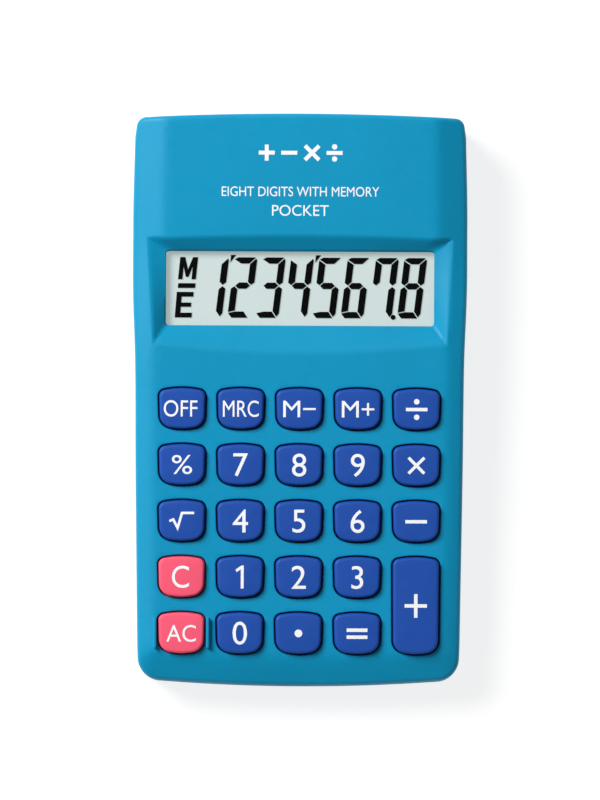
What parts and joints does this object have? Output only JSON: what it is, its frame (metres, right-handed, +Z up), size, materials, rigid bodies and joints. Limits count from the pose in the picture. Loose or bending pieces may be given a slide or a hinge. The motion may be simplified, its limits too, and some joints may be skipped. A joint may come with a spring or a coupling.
{
  "type": "pocket calculator",
  "caption": "Wedge-shaped pocket calculator with sprung keys in a two-part case, a sunken segment display and a sliding cover over its battery.",
  "frame": {"origin": "middle of the flat back, under the centre of the outline", "axes": "+X to the right of the keypad, +Y towards the display end, +Z up out of the keys, with the calculator lying on its back"},
  "size_m": [0.069, 0.118, 0.018],
  "materials": {
    "case_blue": "satin",
    "key_blue": "satin",
    "key_red": "satin",
    "legend_white": "matte",
    "display_ink": "matte",
    "clear_window": "polished",
    "polarizer_film": "satin",
    "display_glass": "polished",
    "reflector_foil": "satin",
    "holder_plastic": "matte",
    "ribbon_film": "satin",
    "silicone": "matte",
    "board_green": "satin",
    "epoxy_black": "satin",
    "capacitor_sleeve": "satin",
    "resistor_lacquer": "satin",
    "cell_sleeve": "satin",
    "nickel_plate": "polished",
    "wire_red_sleeve": "satin",
    "wire_black_sleeve": "satin",
    "screw_steel": "satin"
  },
  "bodies": {
    "case": {"front_case": "case_blue", "rear_case": "case_blue", "display_window": "clear_window", "lcd_polarizer": "polarizer_film", "lcd_front_glass": "display_glass", "lcd_rear_glass": "display_glass", "lcd_reflector": "reflector_foil", "lcd_holder": "holder_plastic", "lcd_ribbon": "ribbon_film", "key_mat": "silicone", "circuit_board": "board_green", "chip_blob": "epoxy_black", "capacitor": "capacitor_sleeve", "resistor": "resistor_lacquer", "battery_cell": "cell_sleeve", "battery_spring": "nickel_plate", "contact_positive": "nickel_plate", "contact_negative": "nickel_plate", "wire_red": "wire_red_sleeve", "wire_black": "wire_black_sleeve", "case_screw_1": "screw_steel", "case_screw_2": "screw_steel", "case_screw_3": "screw_steel", "case_screw_4": "screw_steel", "board_screw_1": "screw_steel", "board_screw_2": "screw_steel", "board_screw_3": "screw_steel", "board_screw_4": "screw_steel"},
    "key_off": {"key_off": "key_blue"},
    "key_mrc": {"key_mrc": "key_blue"},
    "key_m_minus": {"key_m_minus": "key_blue"},
    "key_m_plus": {"key_m_plus": "key_blue"},
    "key_divide": {"key_divide": "key_blue"},
    "key_percent": {"key_percent": "key_blue"},
    "key_7": {"key_7": "key_blue"},
    "key_8": {"key_8": "key_blue"},
    "key_9": {"key_9": "key_blue"},
    "key_multiply": {"key_multiply": "key_blue"},
    "key_sqrt": {"key_sqrt": "key_blue"},
    "key_4": {"key_4": "key_blue"},
    "key_5": {"key_5": "key_blue"},
    "key_6": {"key_6": "key_blue"},
    "key_minus": {"key_minus": "key_blue"},
    "key_clear": {"key_clear": "key_red"},
    "key_1": {"key_1": "key_blue"},
    "key_2": {"key_2": "key_blue"},
    "key_3": {"key_3": "key_blue"},
    "key_plus": {"key_plus": "key_blue"},
    "key_all_clear": {"key_all_clear": "key_red"},
    "key_0": {"key_0": "key_blue"},
    "key_point": {"key_point": "key_blue"},
    "key_equals": {"key_equals": "key_blue"},
    "battery_cover": {"battery_cover": "case_blue"}
  },
  "joints": [
    {"name": "key_off_press", "type": "slide", "parent": "case", "child": "key_off", "axis": [0, 0.0491, -0.9988], "range_m": [0, 0.001], "stiffness_N_per_m": 100, "springref_m": -0.0005, "deforming": ["key_mat"]},
    {"name": "key_mrc_press", "type": "slide", "parent": "case", "child": "key_mrc", "axis": [0, 0.0491, -0.9988], "range_m": [0, 0.001], "stiffness_N_per_m": 100, "springref_m": -0.0005, "deforming": ["key_mat"]},
    {"name": "key_m_minus_press", "type": "slide", "parent": "case", "child": "key_m_minus", "axis": [0, 0.0491, -0.9988], "range_m": [0, 0.001], "stiffness_N_per_m": 100, "springref_m": -0.0005, "deforming": ["key_mat"]},
    {"name": "key_m_plus_press", "type": "slide", "parent": "case", "child": "key_m_plus", "axis": [0, 0.0491, -0.9988], "range_m": [0, 0.001], "stiffness_N_per_m": 100, "springref_m": -0.0005, "deforming": ["key_mat"]},
    {"name": "key_divide_press", "type": "slide", "parent": "case", "child": "key_divide", "axis": [0, 0.0491, -0.9988], "range_m": [0, 0.001], "stiffness_N_per_m": 100, "springref_m": -0.0005, "deforming": ["key_mat"]},
    {"name": "key_percent_press", "type": "slide", "parent": "case", "child": "key_percent", "axis": [0, 0.0491, -0.9988], "range_m": [0, 0.001], "stiffness_N_per_m": 100, "springref_m": -0.0005, "deforming": ["key_mat"]},
    {"name": "key_7_press", "type": "slide", "parent": "case", "child": "key_7", "axis": [0, 0.0491, -0.9988], "range_m": [0, 0.001], "stiffness_N_per_m": 100, "springref_m": -0.0005, "deforming": ["key_mat"]},
    {"name": "key_8_press", "type": "slide", "parent": "case", "child": "key_8", "axis": [0, 0.0491, -0.9988], "range_m": [0, 0.001], "stiffness_N_per_m": 100, "springref_m": -0.0005, "deforming": ["key_mat"]},
    {"name": "key_9_press", "type": "slide", "parent": "case", "child": "key_9", "axis": [0, 0.0491, -0.9988], "range_m": [0, 0.001], "stiffness_N_per_m": 100, "springref_m": -0.0005, "deforming": ["key_mat"]},
    {"name": "key_multiply_press", "type": "slide", "parent": "case", "child": "key_multiply", "axis": [0, 0.0491, -0.9988], "range_m": [0, 0.001], "stiffness_N_per_m": 100, "springref_m": -0.0005, "deforming": ["key_mat"]},
    {"name": "key_sqrt_press", "type": "slide", "parent": "case", "child": "key_sqrt", "axis": [0, 0.0491, -0.9988], "range_m": [0, 0.001], "stiffness_N_per_m": 100, "springref_m": -0.0005, "deforming": ["key_mat"]},
    {"name": "key_4_press", "type": "slide", "parent": "case", "child": "key_4", "axis": [0, 0.0491, -0.9988], "range_m": [0, 0.001], "stiffness_N_per_m": 100, "springref_m": -0.0005, "deforming": ["key_mat"]},
    {"name": "key_5_press", "type": "slide", "parent": "case", "child": "key_5", "axis": [0, 0.0491, -0.9988], "range_m": [0, 0.001], "stiffness_N_per_m": 100, "springref_m": -0.0005, "deforming": ["key_mat"]},
    {"name": "key_6_press", "type": "slide", "parent": "case", "child": "key_6", "axis": [0, 0.0491, -0.9988], "range_m": [0, 0.001], "stiffness_N_per_m": 100, "springref_m": -0.0005, "deforming": ["key_mat"]},
    {"name": "key_minus_press", "type": "slide", "parent": "case", "child": "key_minus", "axis": [0, 0.0491, -0.9988], "range_m": [0, 0.001], "stiffness_N_per_m": 100, "springref_m": -0.0005, "deforming": ["key_mat"]},
    {"name": "key_clear_press", "type": "slide", "parent": "case", "child": "key_clear", "axis": [0, 0.0491, -0.9988], "range_m": [0, 0.001], "stiffness_N_per_m": 100, "springref_m": -0.0005, "deforming": ["key_mat"]},
    {"name": "key_1_press", "type": "slide", "parent": "case", "child": "key_1", "axis": [0, 0.0491, -0.9988], "range_m": [0, 0.001], "stiffness_N_per_m": 100, "springref_m": -0.0005, "deforming": ["key_mat"]},
    {"name": "key_2_press", "type": "slide", "parent": "case", "child": "key_2", "axis": [0, 0.0491, -0.9988], "range_m": [0, 0.001], "stiffness_N_per_m": 100, "springref_m": -0.0005, "deforming": ["key_mat"]},
    {"name": "key_3_press", "type": "slide", "parent": "case", "child": "key_3", "axis": [0, 0.0491, -0.9988], "range_m": [0, 0.001], "stiffness_N_per_m": 100, "springref_m": -0.0005, "deforming": ["key_mat"]},
    {"name": "key_plus_press", "type": "slide", "parent": "case", "child": "key_plus", "axis": [0, 0.0491, -0.9988], "range_m": [0, 0.001], "stiffness_N_per_m": 100, "springref_m": -0.0005, "deforming": ["key_mat"]},
    {"name": "key_all_clear_press", "type": "slide", "parent": "case", "child": "key_all_clear", "axis": [0, 0.0491, -0.9988], "range_m": [0, 0.001], "stiffness_N_per_m": 100, "springref_m": -0.0005, "deforming": ["key_mat"]},
    {"name": "key_0_press", "type": "slide", "parent": "case", "child": "key_0", "axis": [0, 0.0491, -0.9988], "range_m": [0, 0.001], "stiffness_N_per_m": 100, "springref_m": -0.0005, "deforming": ["key_mat"]},
    {"name": "key_point_press", "type": "slide", "parent": "case", "child": "key_point", "axis": [0, 0.0491, -0.9988], "range_m": [0, 0.001], "stiffness_N_per_m": 100, "springref_m": -0.0005, "deforming": ["key_mat"]},
    {"name": "key_equals_press", "type": "slide", "parent": "case", "child": "key_equals", "axis": [0, 0.0491, -0.9988], "range_m": [0, 0.001], "stiffness_N_per_m": 100, "springref_m": -0.0005, "deforming": ["key_mat"]},
    {"name": "battery_cover_slide", "type": "slide", "parent": "case", "child": "battery_cover", "axis": [0, 1, 0], "range_m": [0, 0.04]}
  ]
}
